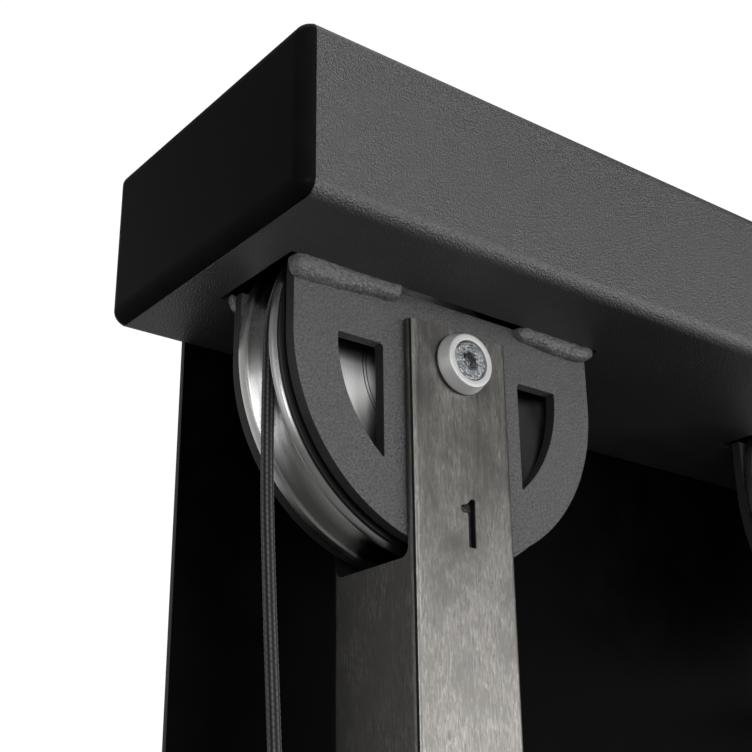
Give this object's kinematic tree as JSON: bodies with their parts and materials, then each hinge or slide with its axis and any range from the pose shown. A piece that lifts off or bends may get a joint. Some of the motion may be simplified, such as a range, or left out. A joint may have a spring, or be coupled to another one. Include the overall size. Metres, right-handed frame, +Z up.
{
  "type": "wall pulley weight stack",
  "caption": "Wall unit with a boxed top beam, a slotted guide rail, grooved rope sheaves, a travelling swivel pulley with hand grip, and a pin-selected weight stack.",
  "frame": {"origin": "on the wall plane, straight behind the axle of the top sheave", "axes": "+X to the right along the top beam, +Y into the wall, +Z up along the guide rail"},
  "size_m": [0.6855, 0.211, 2.0555],
  "materials": {
    "powder_grey": "satin powder coat, fine grain",
    "powder_light": "textured powder coat",
    "cap_plastic": "moulded, satin",
    "brushed": "brushed along the rail",
    "polished": "turned and polished",
    "zinc": "bright zinc",
    "black_oxide": "black oxide",
    "panel": "black laminate",
    "rope": "braided cover",
    "rubber": "moulded",
    "plate": "black textured coat",
    "webbing": "woven webbing",
    "knob_red": "moulded, gloss"
  },
  "bodies": {
    "root": {"top_beam": "powder_grey", "end_cap_left": "cap_plastic", "end_cap_right": "cap_plastic", "front_cheek_1": "powder_light", "rear_cheek_1": "powder_light", "front_cheek_2": "powder_light", "rear_cheek_2": "powder_light", "weld_front_left": "powder_light", "weld_front_right": "powder_light", "axle_screw_1": "black_oxide", "axle_collar": "brushed", "axle_nut_1": "zinc", "spacer_front": "zinc", "spacer_rear": "zinc", "axle_screw_2": "black_oxide", "axle_nut_2": "zinc", "return_bracket": "powder_light", "return_axle": "zinc", "guide_rail": "brushed", "back_panel": "panel", "rod_head_plate": "powder_light", "base_beam": "powder_grey", "base_axle_left": "zinc", "base_axle_right": "zinc", "guide_rod_left": "zinc", "guide_rod_right": "zinc", "stack_bumper": "rubber", "weight_plate_4": "plate", "weight_plate_5": "plate", "weight_plate_6": "plate", "rope_top_run": "rope", "rope_carriage_fall": "rope", "rope_stack_loop": "rope", "rope_base_run": "rope", "rope_anchor_rise": "rope"},
    "top_sheave_body": {"top_sheave": "polished", "sheave_bearing": "zinc"},
    "transfer_sheave_body": {"transfer_sheave": "polished"},
    "return_sheave_body": {"return_sheave": "polished"},
    "base_sheave_left_body": {"base_sheave_left": "polished"},
    "base_sheave_right_body": {"base_sheave_right": "polished"},
    "lifted_stack": {"stack_top_plate": "plate", "weight_plate_1": "plate", "weight_plate_2": "plate", "weight_plate_3": "plate", "selector_stem": "zinc", "lift_yoke": "powder_light"},
    "lift_pulley_body": {"lift_pulley": "polished"},
    "selector": {"selector_pin": "knob_red"},
    "carriage": {"carriage_sleeve": "powder_grey"},
    "plunger": {"index_plunger": "cap_plastic"},
    "swivel": {"swivel_housing": "powder_light", "rope_handle": "rope"},
    "swivel_pulley_body": {"swivel_pulley": "polished"},
    "rope_end": {"stopper_ball": "rubber", "rope_eye": "zinc"},
    "handle": {"carabiner": "zinc", "handle_strap": "webbing", "grip_rod": "zinc"},
    "grip": {"grip_tube": "rubber"}
  },
  "joints": [
    {"name": "stack_lift", "type": "slide", "parent": "root", "child": "lifted_stack", "axis": [0, 0, 1], "range_m": [0, 0.75], "deforming": ["rope_stack_loop"]},
    {"name": "selector_pull", "type": "slide", "parent": "lifted_stack", "child": "selector", "axis": [0, -1, 0], "range_m": [0, 0.09]},
    {"name": "lift_pulley_spin", "type": "hinge", "parent": "lifted_stack", "child": "lift_pulley_body", "pos_m": [0.4018, -0.075, -1.625], "axis": [0, 1, 0], "range_deg": [0, 1440]},
    {"name": "top_sheave_spin", "type": "hinge", "parent": "root", "child": "top_sheave_body", "pos_m": [0, -0.075, 0], "axis": [0, 1, 0], "range_deg": [-1200, 0]},
    {"name": "transfer_sheave_spin", "type": "hinge", "parent": "root", "child": "transfer_sheave_body", "pos_m": [0.3, -0.075, 0], "axis": [0, 1, 0], "range_deg": [-1200, 0]},
    {"name": "carriage_slide", "type": "slide", "parent": "root", "child": "carriage", "axis": [0, 0, 1], "range_m": [-1.05, 0.3], "deforming": ["rope_carriage_fall", "rope_anchor_rise"]},
    {"name": "index_pull", "type": "slide", "parent": "carriage", "child": "plunger", "axis": [1, 0, 0], "range_m": [-0.008, 0]},
    {"name": "return_sheave_spin", "type": "hinge", "parent": "root", "child": "return_sheave_body", "pos_m": [0.4618, -0.075, -0.018], "axis": [0, 1, 0], "range_deg": [-2020, 590]},
    {"name": "base_sheave_left_spin", "type": "hinge", "parent": "root", "child": "base_sheave_left_body", "pos_m": [-0.033, -0.075, -1.925], "axis": [0, 1, 0], "range_deg": [-2420, 700]},
    {"name": "base_sheave_right_spin", "type": "hinge", "parent": "root", "child": "base_sheave_right_body", "pos_m": [0.4668, -0.075, -1.925], "axis": [0, 1, 0], "range_deg": [-2420, 700]},
    {"name": "swivel_turn", "type": "hinge", "parent": "carriage", "child": "swivel", "pos_m": [-0.058, -0.092, -0.49], "axis": [0, 0, 1], "range_deg": [-90, 30]},
    {"name": "swivel_pulley_spin", "type": "hinge", "parent": "swivel", "child": "swivel_pulley_body", "pos_m": [-0.058, -0.117, -0.49], "axis": [1, 0, 0], "range_deg": [-3440, 0]},
    {"name": "handle_pull", "type": "slide", "parent": "swivel", "child": "rope_end", "axis": [0, -1, 0], "range_m": [0, 1.5], "deforming": ["rope_handle"]},
    {"name": "handle_swing", "type": "hinge", "parent": "rope_end", "child": "handle", "pos_m": [-0.058, -0.196, -0.515], "axis": [1, 0, 0], "range_deg": [-90, 2]},
    {"name": "grip_spin", "type": "hinge", "parent": "handle", "child": "grip", "pos_m": [-0.058, -0.196, -0.68], "axis": [1, 0, 0], "continuous": true}
  ],
  "couplings": [
    {"joint": "lift_pulley_spin", "follows": "stack_lift", "rad_per_m": 33.333},
    {"joint": "top_sheave_spin", "follows": "stack_lift", "rad_per_m": -27.855},
    {"joint": "transfer_sheave_spin", "follows": "stack_lift", "rad_per_m": -27.855},
    {"joint": "swivel_pulley_spin", "follows": "stack_lift", "rad_per_m": -80},
    {"joint": "handle_pull", "follows": "stack_lift", "ratio": 2},
    {"joint": "return_sheave_spin", "follows": "carriage_slide", "rad_per_m": 33.333},
    {"joint": "base_sheave_left_spin", "follows": "carriage_slide", "rad_per_m": 40},
    {"joint": "base_sheave_right_spin", "follows": "carriage_slide", "rad_per_m": 40}
  ]
}
